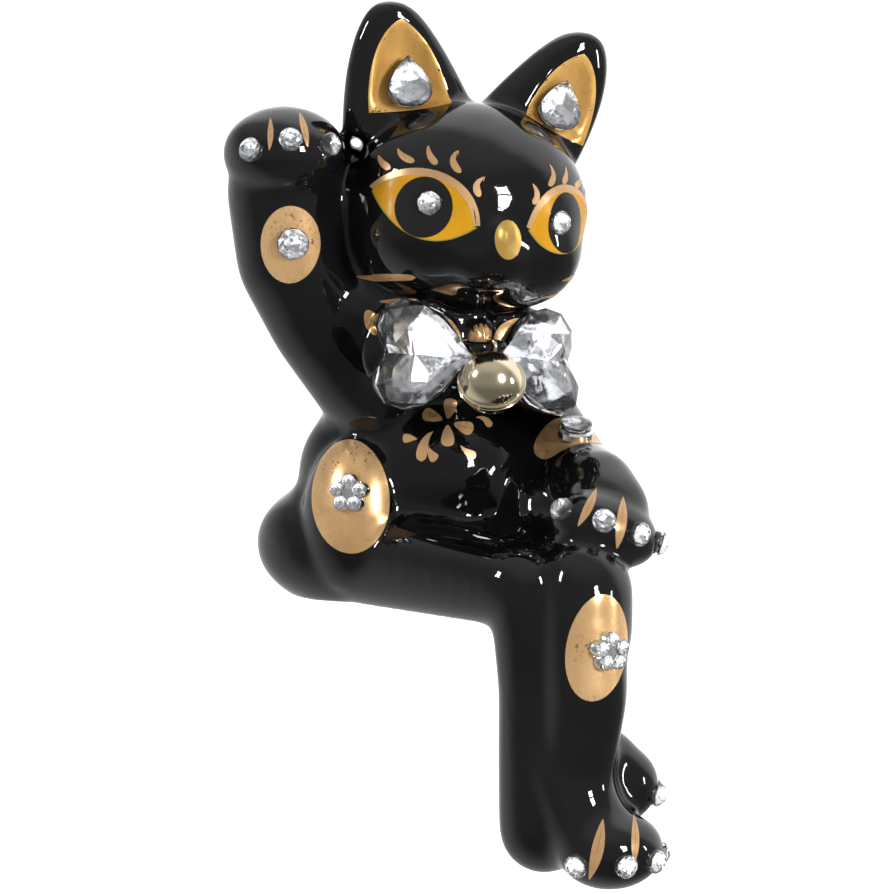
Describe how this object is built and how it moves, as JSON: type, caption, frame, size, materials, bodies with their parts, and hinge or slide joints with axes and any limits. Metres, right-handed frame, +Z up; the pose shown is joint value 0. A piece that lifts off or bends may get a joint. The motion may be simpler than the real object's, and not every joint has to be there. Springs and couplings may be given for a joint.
{
  "type": "beckoning cat figurine",
  "caption": "Hollow glazed pottery cat that sits on a shelf edge with crossed legs and a raised paw, with glued crystals and a hanging bell at its neck.",
  "frame": {"origin": "middle of the seat's flat underside, on the shelf's top surface", "axes": "+Z up, the cat faces -Y, its own left side is +X; the legs hang below z = 0 in front of y = -0.0432"},
  "size_m": [0.0768, 0.1067, 0.1663],
  "materials": {
    "black_glaze": "gloss black glaze with gold lustre painting",
    "clear_crystal": "faceted clear glass with a silver foil back",
    "champagne_gold": "polished pale gold plating",
    "bronze_gold": "satin bronze gold",
    "silver": "polished silver plating",
    "steel": "plain steel"
  },
  "bodies": {
    "root": {"bell_staple": "black_glaze", "cat_body": "black_glaze", "left_arm_setting": "silver", "left_arm_stone": "clear_crystal", "left_ear_stone": "clear_crystal", "left_eye_stone": "clear_crystal", "left_foot_stone_1": "clear_crystal", "left_foot_stone_2": "clear_crystal", "left_foot_stone_3": "clear_crystal", "left_foot_stone_4": "clear_crystal", "left_haunch_flower_setting": "bronze_gold", "left_haunch_flower_stone_1": "clear_crystal", "left_haunch_flower_stone_2": "clear_crystal", "left_haunch_flower_stone_3": "clear_crystal", "left_haunch_flower_stone_4": "clear_crystal", "left_haunch_flower_stone_5": "clear_crystal", "left_heart_crystal": "clear_crystal", "left_shin_flower_setting": "bronze_gold", "left_shin_flower_stone_1": "clear_crystal", "left_shin_flower_stone_2": "clear_crystal", "left_shin_flower_stone_3": "clear_crystal", "left_shin_flower_stone_4": "clear_crystal", "left_shin_flower_stone_5": "clear_crystal", "raised_paw_stone_1": "clear_crystal", "raised_paw_stone_2": "clear_crystal", "raised_paw_stone_3": "clear_crystal", "resting_paw_stone_1": "clear_crystal", "resting_paw_stone_2": "clear_crystal", "resting_paw_stone_3": "clear_crystal", "resting_paw_stone_4": "clear_crystal", "right_ear_stone": "clear_crystal", "right_eye_stone": "clear_crystal", "right_foot_stone_1": "clear_crystal", "right_foot_stone_2": "clear_crystal", "right_forearm_stone": "clear_crystal", "right_haunch_flower_setting": "bronze_gold", "right_haunch_flower_stone_1": "clear_crystal", "right_haunch_flower_stone_2": "clear_crystal", "right_haunch_flower_stone_3": "clear_crystal", "right_haunch_flower_stone_4": "clear_crystal", "right_haunch_flower_stone_5": "clear_crystal", "right_heart_crystal": "clear_crystal"},
    "bell": {"bell_front_cup": "champagne_gold", "bell_back_cup": "champagne_gold", "bell_eye": "champagne_gold"},
    "pellet": {"bell_pellet": "steel"}
  },
  "joints": [
    {"name": "bell_swing", "type": "hinge", "parent": "root", "child": "bell", "pos_m": [-0.00103, -0.02766, 0.05181], "axis": [1, 0, 0], "range_deg": [-40, 0]},
    {"name": "pellet_rattle", "type": "slide", "parent": "bell", "child": "pellet", "axis": [0, 0, 1], "range_m": [0, 0.007]}
  ]
}
